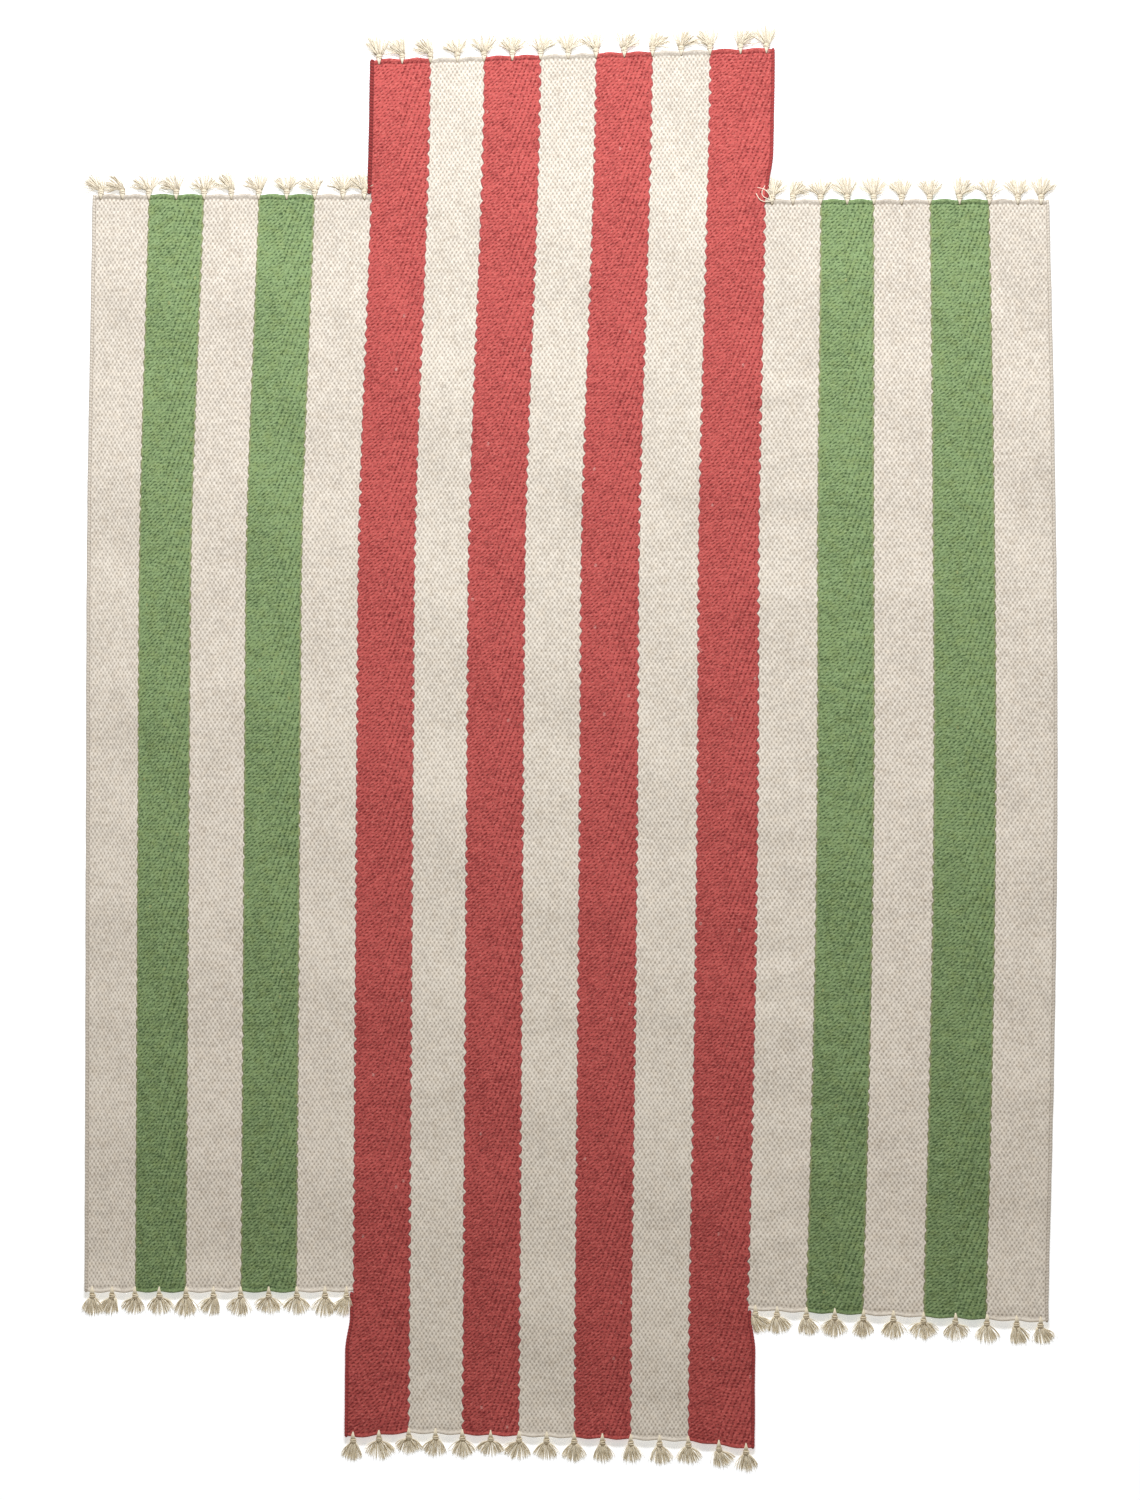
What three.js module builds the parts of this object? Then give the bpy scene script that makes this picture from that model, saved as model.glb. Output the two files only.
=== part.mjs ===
// A flat-woven striped rug in the shape of a plus: a long centre panel with a shorter panel along each side, all
// three woven in one piece, with a knotted tassel at both ends of every group of warp threads.
// Millimetres, +X across the stripes, +Y along them, +Z up off the floor. Every stripe is a band of weft with a
// tunnel through its middle and a groove in each edge, and the warp groups lie in those tunnels and grooves.
import * as THREE from "three";

// Driving dimensions
const THICKNESS = 7; // of the woven cloth
const GAP = 0.3; // between neighbouring pieces
const WARP_WIDTH = 32; // one group of warp threads, lying flat
const WARP_THICKNESS = 1.6;
const WARP_CLEARANCE = 1.2; // between a warp group and the sides of its tunnel or groove
const GROOVE_HEIGHT = 2.4;
const TUNNEL_HEIGHT = 2.8;
const SELVEDGE = 6.4; // width of the thick cord along a free edge
const SELVEDGE_SIDES = 8;
const WARP_SIDES = 6;
const LEFT_EDGE = -844; // x of the left panel's free edge; x = 0 is near the middle of the centre panel

const COLOURS = { cream: 0xe3d9c8, green: 0x6c995b, red: 0xb64a4c, cotton: 0xdac8a6 };

// The panels from left to right, with each stripe's colour and width. An end that isn't square to the stripes has a
// slant, its rise in Y for each millimetre of X.
const PANELS = [
  {
    name: "left",
    stripes: [["cream", 102], ["green", 99], ["cream", 97], ["green", 99], ["cream", 100]],
    top: { y: 987, slant: 0 },
    bottom: { y: -957, slant: 0 },
  },
  {
    name: "centre",
    stripes: [
      ["red", 100], ["cream", 95], ["red", 100], ["cream", 98],
      ["red", 100], ["cream", 102], ["red", 103],
    ],
    top: { y: 1236, slant: 0.029 },
    bottom: { y: -1214, slant: -0.03 },
  },
  {
    name: "right",
    stripes: [["cream", 97], ["green", 93], ["cream", 98], ["green", 104], ["cream", 107]],
    top: { y: 978, slant: 0 },
    bottom: { y: -974, slant: -0.043 },
  },
];

// Which way each tassel falls, in degrees from straight out of the rug's end towards +X, from left to right.
const TASSEL_LEANS = {
  left: {
    top: [-40, -35, -35, -30, 0, -35, -25, -15, -25, 0, -20],
    bottom: [0, -15, -15, 0, -5, -15, -10, 0, 0, 0, -20],
  },
  centre: {
    top: [-15, -35, -35, -10, 0, 0, 10, 0, -15, 25, 35, 25, -15, 30, -10],
    bottom: [-3, 5, 0, -12, 0, -5, -15, 0, 3, 8, 5, 8, 8, 26, 10],
  },
  right: {
    top: [16, 35, 0, -15, 5, -10, 0, 20, 5, 0, 15],
    bottom: [30, 15, 15, 0, 0, 0, 0, 0, 10, 20, 20],
  },
};

// A tassel's sections from inside the cloth to its tip: how far out of the cloth's end, how wide and how thick, the
// height of its middle, and how much of the tassel's lean it has.
const TASSEL_NECK = 11; // the tassel leans from here on
const TASSEL = [
  { out: 2, width: 8, thickness: 2, z: 3.5, lean: 0 },
  { out: 5, width: 10, thickness: 7.4, z: 4.2, lean: 0 },
  { out: 11, width: 10, thickness: 7.4, z: 4.2, lean: 0 },
  { out: 14, width: 7.5, thickness: 5.6, z: 3.6, lean: 0.5 },
  { out: 40, width: 21, thickness: 3, z: 1.9, lean: 1 },
];
const FUNNEL = 14; // how far inside the cloth's end a warp group starts to draw together
const EDGE_MARGIN = 9; // how far from a panel's outer edge its outermost tassels stand
const SEAM_MARGIN = 12; // the same beside the centre panel, where they clear its selvedge

// The cloth isn't laid square: from the top end to the bottom one its stripes drift to the left, less so at the
// outer edges, and the right panel's middle bows outwards.
const DRIFT = { steady: 16, sway: 22.5, swayFrom: 1230, swayTo: 250 };
const LEFT_HOLD = { share: 0.56, from: 650, to: 850 };
const RIGHT_HOLD = { share: 0.94, from: 280, to: 850 };
const BOW = { size: 16, from: -100, to: 575 };
// The centre panel's outer stripes spread where they are free, by so much at each corner.
const FLARE = {
  topLeft: 0, topRight: 6, bottomLeft: -8, bottomRight: 7,
  inner: 262, outer: 352, // |x| from the still edge of such a stripe to its free edge
  from: 1000, to: 1060, // |y| over which it opens out
};

// The levels in Y at which every piece has a section, so that neighbours bend alike.
const LEVELS = [1150, 1060, 1030, 1000, 987, 978, 780, 590, 357, 100, -150, -420, -690, -957, -1000, -1030, -1060];

const { smoothstep, degToRad } = THREE.MathUtils;
const centre = PANELS[1];
const right = PANELS[2];

// How far the free ends of the centre panel's outer stripes spread.
function flareAt(x, y) {
  const corner = x < 0 ? [FLARE.bottomLeft, FLARE.topLeft] : [FLARE.bottomRight, FLARE.topRight];
  const size = y < 0 ? corner[0] : corner[1];
  const outwards = smoothstep(Math.abs(x), FLARE.inner, FLARE.outer);
  return size * outwards * smoothstep(Math.abs(y), FLARE.from, FLARE.to);
}

// Where a point of the square cloth lies in the real one.
function laid(x, y) {
  const along = (centre.top.y - y) / (centre.top.y - centre.bottom.y);
  const sway = 1 - smoothstep(y, DRIFT.swayTo, DRIFT.swayFrom);
  const held = LEFT_HOLD.share * smoothstep(-x, LEFT_HOLD.from, LEFT_HOLD.to) +
    RIGHT_HOLD.share * smoothstep(x, RIGHT_HOLD.from, RIGHT_HOLD.to);
  const drift = (DRIFT.steady * along + DRIFT.sway * sway) * (1 - held);
  const upRight = THREE.MathUtils.clamp((y - right.bottom.y) / (right.top.y - right.bottom.y), 0, 1);
  const bow = BOW.size * smoothstep(x, BOW.from, BOW.to) * Math.sin(Math.PI * upRight);
  return x - drift + bow + flareAt(x, y);
}

const endAt = (end, x) => end.y + end.slant * x;

// A closed solid that joins a row of sections, the first at the top end: `place` turns a point of the outline and
// the number of its section into a point of the rug.
function loft(outline, sections, place) {
  const geometry = new THREE.ExtrudeGeometry(outline, {
    depth: sections - 1,
    steps: sections - 1,
    bevelEnabled: false,
  });
  const position = geometry.getAttribute("position");
  for (let i = 0; i < position.count; i++) {
    const [x, y, z] = place(position.getX(i), position.getY(i), Math.round(position.getZ(i)));
    position.setXYZ(i, x, y, z);
  }
  geometry.computeVertexNormals();
  return geometry;
}

const pathOf = (points, Kind) => new Kind(points.map(([x, y]) => new THREE.Vector2(x, y)));

// The height of each level inside a panel, with the panel's own ends at x as its first and last.
function levelsOf(panel, x) {
  const inside = LEVELS.filter((y) => y < panel.top.y && y > panel.bottom.y);
  return [endAt(panel.top, x), ...inside, endAt(panel.bottom, x)];
}

// One stripe of weft: a flat band with a groove in each edge and a tunnel down its middle.
function weftStripe(panel, left, width) {
  const low = (THICKNESS - GROOVE_HEIGHT) / 2;
  const high = (THICKNESS + GROOVE_HEIGHT) / 2;
  const floor = (THICKNESS - TUNNEL_HEIGHT) / 2;
  const roof = (THICKNESS + TUNNEL_HEIGHT) / 2;
  const groove = WARP_WIDTH / 2 + WARP_CLEARANCE;
  const [a, b] = [left + GAP / 2, left + width - GAP / 2];
  const band = pathOf([
    [a, 0], [b, 0], [b, low], [b - groove, low], [b - groove, high], [b, high],
    [b, THICKNESS], [a, THICKNESS], [a, high], [a + groove, high], [a + groove, low], [a, low],
  ], THREE.Shape);
  const middle = left + width / 2;
  band.holes.push(pathOf([
    [middle - groove, floor], [middle - groove, roof], [middle + groove, roof], [middle + groove, floor],
  ], THREE.Path));
  const sections = levelsOf(panel, middle).length;
  return loft(band, sections, (x, z, section) => {
    const y = levelsOf(panel, x)[section];
    return [laid(x, y), y, z];
  });
}

// A section with `sides` corners on an ellipse of width and height 1.
function roundSection(sides) {
  const corner = (i) => (2 * Math.PI * i) / sides;
  const points = Array.from({ length: sides }, (_, i) => [Math.cos(corner(i)) / 2, Math.sin(corner(i)) / 2]);
  return pathOf(points, THREE.Shape);
}

// A tassel's sections at one end of the rug, from the cloth outwards; `way` is 1 at the top end and -1 at the other.
function tasselSections(x, end, way, lean) {
  const endY = endAt(end, x);
  return TASSEL.map((s) => {
    const turn = degToRad(lean) * s.lean;
    const straight = Math.min(s.out, TASSEL_NECK);
    const leaning = Math.max(0, s.out - TASSEL_NECK);
    const middleX = laid(x, endY) + Math.sin(turn) * leaning;
    const middleY = endY + way * (straight + Math.cos(turn) * leaning);
    return (u, v) => [
      middleX + u * s.width * Math.cos(turn),
      middleY - u * s.width * Math.sin(turn) * way,
      s.z + v * s.thickness,
    ];
  });
}

// One group of warp threads: a flat ribbon through the cloth with a knotted tassel at each end.
function warpGroup(panel, x, width, mouth, leanTop, leanBottom) {
  const top = endAt(panel.top, x) - FUNNEL;
  const bottom = endAt(panel.bottom, x) + FUNNEL;
  const inside = LEVELS.filter((y) => y < top - 1 && y > bottom + 1);
  const ribbon = (y) => (u, v) => [laid(x + u * width, y), y, THICKNESS / 2 + v * WARP_THICKNESS];
  const sections = [
    ...tasselSections(mouth, panel.top, 1, leanTop).reverse(),
    ...[top, ...inside, bottom].map(ribbon),
    ...tasselSections(mouth, panel.bottom, -1, leanBottom),
  ];
  return loft(roundSection(WARP_SIDES), sections.length, (u, v, i) => sections[i](u, v));
}

// A thick cord along a free edge of the cloth between two heights.
function selvedge(x, side, top, bottom) {
  const middle = x + side * (SELVEDGE / 2 + GAP / 2);
  const levels = [top, ...LEVELS.filter((y) => y < top - 1 && y > bottom + 1), bottom];
  return loft(roundSection(SELVEDGE_SIDES), levels.length, (u, v, i) => [
    laid(middle, levels[i]) + u * SELVEDGE,
    levels[i],
    THICKNESS / 2 + v * SELVEDGE,
  ]);
}

const materials = Object.fromEntries(
  Object.entries(COLOURS).map(([name, color]) => [
    name,
    new THREE.MeshStandardMaterial({ color, roughness: 0.95, metalness: 0 }),
  ]),
);

const rug = new THREE.Group();

function add(name, geometry, colour) {
  const mesh = new THREE.Mesh(geometry, materials[colour]);
  mesh.name = name;
  rug.add(mesh);
}

const number = (i) => String(i + 1).padStart(2, "0");

// The stripes and warp groups of one panel, whose cloth runs from x = left to x = left + its stripes' widths.
function addPanel(panel, left) {
  const last = panel.stripes.length - 1;
  const places = [];
  let edge = left;
  panel.stripes.forEach(([colour, full], i) => {
    const trimLeft = i === 0 && panel.name === "left" ? SELVEDGE : 0;
    const trimRight = i === last && panel.name === "right" ? SELVEDGE : 0;
    const width = full - trimLeft - trimRight;
    const start = edge + trimLeft;
    add(`${panel.name}_stripe_${i + 1}_${colour}`, weftStripe(panel, start, width), colour);
    places.push({ x: start, inward: i === 0 ? 1 : 0, free: trimLeft > 0 });
    places.push({ x: start + width / 2, inward: 0 });
    if (i === last) places.push({ x: start + width, inward: -1, free: trimRight > 0 });
    edge += full;
  });
  const leans = TASSEL_LEANS[panel.name];
  places.forEach(({ x, inward, free }, i) => {
    // the outermost groups have half the threads, all on the panel's side of its edge
    const width = inward ? WARP_WIDTH / 2 - GAP : WARP_WIDTH;
    const middle = x + inward * (width / 2 + GAP);
    const mouth = x + inward * (free || panel === centre ? EDGE_MARGIN : SEAM_MARGIN);
    const geometry = warpGroup(panel, middle, width, mouth, leans.top[i], leans.bottom[i]);
    add(`${panel.name}_warp_${number(i)}`, geometry, "cotton");
  });
  return edge;
}

const leftSeam = addPanel(PANELS[0], LEFT_EDGE);
const rightSeam = addPanel(PANELS[1], leftSeam);
const rightEdge = addPanel(PANELS[2], rightSeam);

add("left_selvedge", selvedge(LEFT_EDGE + SELVEDGE, -1, PANELS[0].top.y, PANELS[0].bottom.y), "cream");
const rightBottom = endAt(PANELS[2].bottom, rightEdge);
add("right_selvedge", selvedge(rightEdge - SELVEDGE, 1, PANELS[2].top.y, rightBottom), "cream");
// The centre panel's edges are free only beyond the side panels.
for (const [name, x, side, panel] of [
  ["left", leftSeam, -1, PANELS[0]],
  ["right", rightSeam, 1, PANELS[2]],
]) {
  const topY = endAt(centre.top, x);
  const bottomY = endAt(centre.bottom, x);
  add(`centre_selvedge_top_${name}`, selvedge(x, side, topY, endAt(panel.top, x) + GAP), "red");
  add(`centre_selvedge_bottom_${name}`, selvedge(x, side, endAt(panel.bottom, x) - GAP, bottomY), "red");
}

// The rug's box is centred on the origin, with the cloth resting on z = 0.
const box = new THREE.Box3().setFromObject(rug);
rug.position.set(-(box.min.x + box.max.x) / 2, -(box.min.y + box.max.y) / 2, 0);

export default rug;
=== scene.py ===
"""A flat-woven plus-shaped rug with knotted tassels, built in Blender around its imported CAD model.

The cloth is made stripe by stripe from its weave: every bead or float of weft is in the mesh, over the rug's
drift, ripples, scalloped colour boundaries and rolled end hems. Metres throughout.
"""

import math

import bpy
import numpy as np
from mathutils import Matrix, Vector

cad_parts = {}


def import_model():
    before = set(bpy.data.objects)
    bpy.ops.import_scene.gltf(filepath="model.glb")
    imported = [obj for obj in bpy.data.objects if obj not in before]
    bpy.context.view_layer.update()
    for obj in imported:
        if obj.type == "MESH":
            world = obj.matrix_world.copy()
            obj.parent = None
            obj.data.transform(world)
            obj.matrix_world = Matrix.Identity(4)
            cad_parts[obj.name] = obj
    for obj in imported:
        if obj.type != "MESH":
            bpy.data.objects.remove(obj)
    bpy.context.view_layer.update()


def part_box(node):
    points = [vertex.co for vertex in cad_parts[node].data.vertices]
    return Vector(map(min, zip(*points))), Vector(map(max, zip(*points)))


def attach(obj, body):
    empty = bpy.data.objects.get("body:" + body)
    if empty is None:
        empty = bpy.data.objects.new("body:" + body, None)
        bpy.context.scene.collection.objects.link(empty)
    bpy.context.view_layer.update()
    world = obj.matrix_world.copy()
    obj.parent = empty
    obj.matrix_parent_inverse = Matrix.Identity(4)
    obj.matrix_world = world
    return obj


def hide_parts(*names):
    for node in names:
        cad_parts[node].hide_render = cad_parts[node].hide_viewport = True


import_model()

# The cloth's own dimensions, the same as the CAD model's.
THICKNESS = 0.007
GAP = 0.0003
JOINT = 0.00004  # between two stripes, whose threads interlock
SELVEDGE = 0.0064
ROLLED = 0.0080  # the same where the centre panel's top left edge rolls over
EDGE_MARGIN = 0.009  # from a panel's outer edge to its outermost tassels
SEAM_MARGIN = 0.012  # the same beside the centre panel
LEFT_EDGE = -0.844  # x of the left panel's free edge; x = 0 is near the middle of the centre panel

# Each panel's stripes from left to right, with their widths, and its ends' height at x = 0 and slant.
PANELS = {
    "left": {
        "stripes": [
            ("cream", 0.102), ("green", 0.099), ("cream", 0.097), ("green", 0.099), ("cream", 0.100),
        ],
        "top": (0.987, 0.0),
        "bottom": (-0.957, 0.0),
    },
    "centre": {
        "stripes": [
            ("red", 0.100), ("cream", 0.095), ("red", 0.100), ("cream", 0.098),
            ("red", 0.100), ("cream", 0.102), ("red", 0.103),
        ],
        "top": (1.236, 0.029),
        "bottom": (-1.214, -0.03),
    },
    "right": {
        "stripes": [
            ("cream", 0.097), ("green", 0.093), ("cream", 0.098), ("green", 0.104), ("cream", 0.107),
        ],
        "top": (0.978, 0.0),
        "bottom": (-0.974, -0.043),
    },
}

# How each tassel lies, from left to right: its lean towards +X in degrees, and half the angle of its fan.
TASSELS = {
    "left": {
        "top": [
            (-44, 26), (-62, 20), (-28, 40), (-42, 34), (-6, 46), (-40, 28),
            (-25, 32), (-8, 36), (-25, 42), (-5, 44), (-24, 27),
        ],
        "bottom": [
            (0, 26), (-15, 24), (-15, 30), (0, 44), (-5, 30), (-15, 28),
            (-10, 34), (0, 46), (0, 40), (0, 30), (-20, 24),
        ],
    },
    "centre": {
        "top": [
            (-15, 28), (-38, 30), (-44, 26), (-10, 36), (0, 32), (0, 38),
            (10, 30), (0, 36), (-15, 30), (28, 30), (42, 26), (28, 32),
            (-18, 34), (32, 28), (-10, 26),
        ],
        "bottom": [
            (-3, 22), (5, 38), (0, 42), (-12, 28), (0, 38), (-5, 50),
            (-15, 38), (0, 36), (3, 26), (8, 20), (5, 24), (8, 28),
            (8, 38), (26, 34), (10, 25),
        ],
    },
    "right": {
        "top": [
            (14, 28), (44, 26), (0, 34), (-15, 30), (5, 36), (-10, 30),
            (0, 38), (24, 28), (5, 34), (0, 38), (15, 26),
        ],
        "bottom": [
            (34, 26), (15, 30), (15, 26), (0, 34), (0, 30), (0, 38),
            (3, 50), (5, 42), (12, 28), (18, 22), (22, 22),
        ],
    },
}

# The cloth isn't laid square: its stripes drift to the left towards the bottom, less so at the outer edges.
DRIFT_STEADY, DRIFT_SWAY, SWAY_FROM, SWAY_TO = 0.016, 0.0225, 1.230, 0.250
LEFT_HOLD = (0.56, 0.650, 0.850)
RIGHT_HOLD = (0.94, 0.280, 0.850)
BOW, BOW_FROM, BOW_TO = 0.016, -0.100, 0.575
# The centre panel's outer stripes spread where they are free, by so much at each corner.
FLARE = {
    ("left", "top"): 0.0,
    ("right", "top"): 0.006,
    ("left", "bottom"): -0.008,
    ("right", "bottom"): 0.007,
}
FLARE_INNER, FLARE_OUTER = 0.262, 0.352
FLARE_FROM, FLARE_TO = 1.000, 1.060
CORNER_DROOP, DROOP_WIDTH, DROOP_REACH = 0.010, 0.110, 0.200

# The weave.
PICK = 0.0055  # from one row of beads to the next
BEAD = 0.0074  # from one bead to the next along a row of plain weave
FLOAT = 0.0082  # the same of the coloured stripes' twill
RELIEF = {"plain": 0.0007, "twill": 0.00055}
PLAIN_PIT = 2.0  # how narrow the pits of the plain weave are
SCALLOP = 0.0225  # the length of one scallop of a colour boundary: four picks
SCALLOP_DEPTH = {"red": 0.0044, "green": 0.0026}
SCALLOP_REACH = 0.011  # how far into a stripe a scallop still moves the threads
HEM = 0.0066
HEM_RISE = 0.0009
DRAWN_IN, DRAWN_REACH = 0.0013, 0.020  # how far the tassels pull the ends in, and how deep into the cloth
CURL, CURL_REACH = 0.0037, 0.075  # how high the bottom ends stand off the floor, and over what length
LONG_RIPPLE, SHORT_RIPPLE = 0.0016, 0.0007
WORN_FOLD_X, WORN_FOLD_WIDTH = 0.40, 0.13  # where short ripples are strongest
UNEVEN_BEADS = 0.16  # how much the beads differ, as a share of the relief
GROOVE_WIDTH, GROOVE_DEPTH = 0.0011, 1.9  # between the hem and the cloth, its depth as a share of the relief
ROLL = 0.0022  # the radius of the ends' rolled edge
INTERLOCK = 0.0024  # how far from a boundary the two colours' threads interlock
LOBE_INTERLOCK = 0.0018  # how much further in the middle of a scallop
CLOTH_TOP = PANELS["centre"]["top"][0]
CLOTH_BOTTOM = PANELS["centre"]["bottom"][0]


def smoothstep(x, low, high):
    t = np.clip((x - low) / (high - low), 0.0, 1.0)
    return t * t * (3 - 2 * t)


def drifted(x, y):
    """Where a point of the square cloth lies across the rug once it is laid down."""
    x, y = np.asarray(x, float), np.asarray(y, float)
    along = (CLOTH_TOP - y) / (CLOTH_TOP - CLOTH_BOTTOM)
    sway = 1 - smoothstep(y, SWAY_TO, SWAY_FROM)
    held = LEFT_HOLD[0] * smoothstep(-x, *LEFT_HOLD[1:]) + RIGHT_HOLD[0] * smoothstep(x, *RIGHT_HOLD[1:])
    drift = (DRIFT_STEADY * along + DRIFT_SWAY * sway) * (1 - held)
    low, high = PANELS["right"]["bottom"][0], PANELS["right"]["top"][0]
    up = np.clip((y - low) / (high - low), 0, 1)
    bow = BOW * smoothstep(x, BOW_FROM, BOW_TO) * np.sin(np.pi * up)
    lower = np.where(x < 0, FLARE["left", "bottom"], FLARE["right", "bottom"])
    upper = np.where(x < 0, FLARE["left", "top"], FLARE["right", "top"])
    free = smoothstep(abs(x), FLARE_INNER, FLARE_OUTER) * smoothstep(abs(y), FLARE_FROM, FLARE_TO)
    return x - drift + bow + np.where(y < 0, lower, upper) * free


LEFT_SEAM = LEFT_EDGE + sum(width for _, width in PANELS["left"]["stripes"])
RIGHT_SEAM = LEFT_SEAM + sum(width for _, width in PANELS["centre"]["stripes"])
RIGHT_EDGE = RIGHT_SEAM + sum(width for _, width in PANELS["right"]["stripes"])


def end_at(panel, end, x):
    height, slant = PANELS[panel][end]
    return height + slant * np.asarray(x, float)


def droop(panel, x, y):
    """How far the corners of the centre panel's bottom end hang out beyond its straight line."""
    if panel != "centre":
        return np.zeros(np.broadcast(x, y).shape)
    near = np.minimum(x - LEFT_SEAM, RIGHT_SEAM - x)
    up = y - end_at("centre", "bottom", x)
    return CORNER_DROOP * (1 - smoothstep(near, 0, DROOP_WIDTH)) * (1 - smoothstep(up, 0, DROOP_REACH))


# The frame's own place tells how far the whole cloth is shifted to stand centred on the origin.
_low, _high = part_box("left_selvedge")
_cord_x = LEFT_EDGE + (SELVEDGE - GAP) / 2
SHIFT_X = _low[0] - (float(drifted(_cord_x, PANELS["left"]["bottom"][0])) - SELVEDGE / 2)
SHIFT_Y = _high[1] - PANELS["left"]["top"][0]


def waves(seed, count, lengths, skew):
    """A smooth random surface from -1 to 1: waves that run along Y, `skew` of their slope across."""
    rng = np.random.default_rng(seed)
    size = rng.uniform(0.5, 1.0, count)
    size /= size.sum()
    along = 2 * np.pi / rng.uniform(*lengths, count)
    across = along * rng.normal(0, skew, count)
    phase = rng.uniform(0, 2 * np.pi, count)

    def surface(x, y):
        total = np.zeros(np.broadcast(x, y).shape)
        for s, a, c, p in zip(size, along, across, phase):
            total += s * np.sin(a * y + c * x + p)
        return total

    return surface


long_ripples = waves(11, 5, (0.16, 0.42), 0.25)
short_ripples = waves(12, 5, (0.055, 0.10), 0.18)
ripple_places = waves(13, 4, (0.5, 1.4), 1.0)
beat = waves(14, 6, (0.05, 0.25), 1.5)
mottle = waves(15, 9, (0.05, 0.4), 1.2)


def curl(panel, x, y):
    """How far a panel's bottom end curls up off the floor, away from any seam."""
    bottom = end_at(panel, "bottom", x)
    seam = {"left": LEFT_SEAM - x, "centre": 1.0, "right": x - RIGHT_SEAM}[panel]
    return CURL * (1 - smoothstep(y - bottom, 0, CURL_REACH)) * smoothstep(seam, 0.0, 0.10)


def lift(panel, x, y):
    """How far the cloth's underside stands off the floor: the ripples it keeps from being folded."""
    places = 0.5 + 0.5 * ripple_places(x, y)
    low_waves = LONG_RIPPLE * (1 + long_ripples(x, y)) * (0.4 + places)
    worn_fold = np.exp(-(((x - WORN_FOLD_X) / WORN_FOLD_WIDTH) ** 2))
    short_waves = SHORT_RIPPLE * (1 + short_ripples(x, y)) * (0.35 + 0.8 * worn_fold + 0.5 * places)
    return low_waves + short_waves + curl(panel, x, y)


# Meshes


def closed_mesh(name, points, faces, uv_of_corners, attributes):
    """One mesh from arrays: faces lists (n, k) index arrays, each with its corners' bake map places."""
    mesh = bpy.data.meshes.new(name)
    corners = np.concatenate([f.ravel() for f in faces])
    sizes = np.concatenate([np.full(len(f), f.shape[1]) for f in faces])
    starts = np.concatenate([[0], np.cumsum(sizes)[:-1]])
    mesh.vertices.add(len(points))
    mesh.vertices.foreach_set("co", np.ascontiguousarray(points, np.float32).ravel())
    mesh.loops.add(len(corners))
    mesh.loops.foreach_set("vertex_index", corners.astype(np.int32))
    mesh.polygons.add(len(starts))
    mesh.polygons.foreach_set("loop_start", starts.astype(np.int32))
    mesh.polygons.foreach_set("use_smooth", np.ones(len(starts), bool))
    layer = mesh.uv_layers.new(name="OFBake")
    places = np.concatenate([c.reshape(-1, 2) for c in uv_of_corners])
    layer.uv.foreach_set("vector", places.astype(np.float32).ravel())
    for label, values in attributes.items():
        attribute = mesh.attributes.new(label, "FLOAT", "POINT")
        attribute.data.foreach_set("value", np.ascontiguousarray(values, np.float32).ravel())
    mesh.update(calc_edges=True)
    mesh.validate()
    piece = bpy.data.objects.new(name, mesh)
    bpy.context.scene.collection.objects.link(piece)
    return piece


def grid_faces(rows, columns, first=0, closed=False, turned=False):
    """The quads of a grid of vertices, whose last column joins its first if closed."""
    index = first + np.arange(rows * columns).reshape(rows, columns)
    if closed:
        index = np.concatenate([index, index[:, :1]], axis=1)
    a, b, c, d = index[:-1, :-1], index[:-1, 1:], index[1:, 1:], index[1:, :-1]
    order = (a, d, c, b) if turned else (a, b, c, d)
    return np.stack(order, axis=-1).reshape(-1, 4)


def strip_layout(rows, columns, slots, used, first, last):
    """Places in the bake map for a long grid of quads, cut into `used` lengths that lie side by side in the
    slots from `first` to `last` of `slots`; rows and columns hold each grid line's place from 0 to 1."""
    margin = 0.06
    cell = np.minimum((0.5 * (rows[:-1] + rows[1:]) * used).astype(int), used - 1)
    wide = (last - first) / used
    down = np.stack([rows[:-1] * used - cell, rows[1:] * used - cell], axis=-1)
    across = np.stack([columns[:-1], columns[1:]], axis=-1)
    left = (first + cell * wide) / slots
    u = left[:, None, None] + (margin / 2 + across[None] * (1 - margin)) * wide / slots
    v = np.broadcast_to(0.005 + 0.99 * down[:, None], (len(cell), len(across), 2))
    u = np.broadcast_to(u, v.shape)
    corner = [(0, 0), (1, 0), (1, 1), (0, 1)]
    return np.stack([np.stack([u[..., i], v[..., j]], axis=-1) for i, j in corner], axis=2)


# The cloth

# Painted light and shade, set to look right under this lamp and not known of the wool: the most that the dyed
# stripes are painted darker towards the bottom end and the cream ones towards the top, the painted shade in
# the grooves, and the hems painted darker at the top end and lighter at the bottom.
DYED_SHADING, CREAM_SHADING = 0.18, 0.15
GROOVE_PAINTED_SHADE = {"top": 0.60, "bottom": 0.30}
TOP_HEM_PAINTED_SHADE = {"plain": -0.22, "twill": -0.05}
BOTTOM_HEM_PAINTED_LIGHT = 0.14


def plain_weave(u, pick):
    """The height of plain weave, -1 to 1: staggered beads with a pit between them."""
    bead = np.cos(2 * np.pi * u / BEAD) * np.cos(np.pi * pick)
    return 1 - 2 * ((1 - bead) / 2) ** PLAIN_PIT


def twill_weave(u, pick, right):
    """The height of a broken twill, -1 to 1: slanting floats, steeper on the stripe's right half."""
    climb = np.where(right, 0.25, 0.75)
    line = (0.5 + 0.5 * np.cos(2 * np.pi * (u / FLOAT - pick * climb))) ** 3
    furrow = np.sin(np.pi * pick) ** 2
    return 0.9 - line * (0.25 + 1.35 * furrow) - 0.12 * furrow


def boundary_shift(phase, y, depth):
    """How far a colour boundary's scallop moves it: rounded lobes `depth` high with sharp points between."""
    lobes = abs(np.sin(np.pi * (y / SCALLOP + phase)))
    slow = 0.25 * np.sin(2 * np.pi * (y / 0.31 + 3 * phase))
    quick = 0.2 * np.sin(2 * np.pi * (y / 0.083 + phase))
    return depth * (1 + slow + quick) * (lobes - 0.64)


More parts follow.
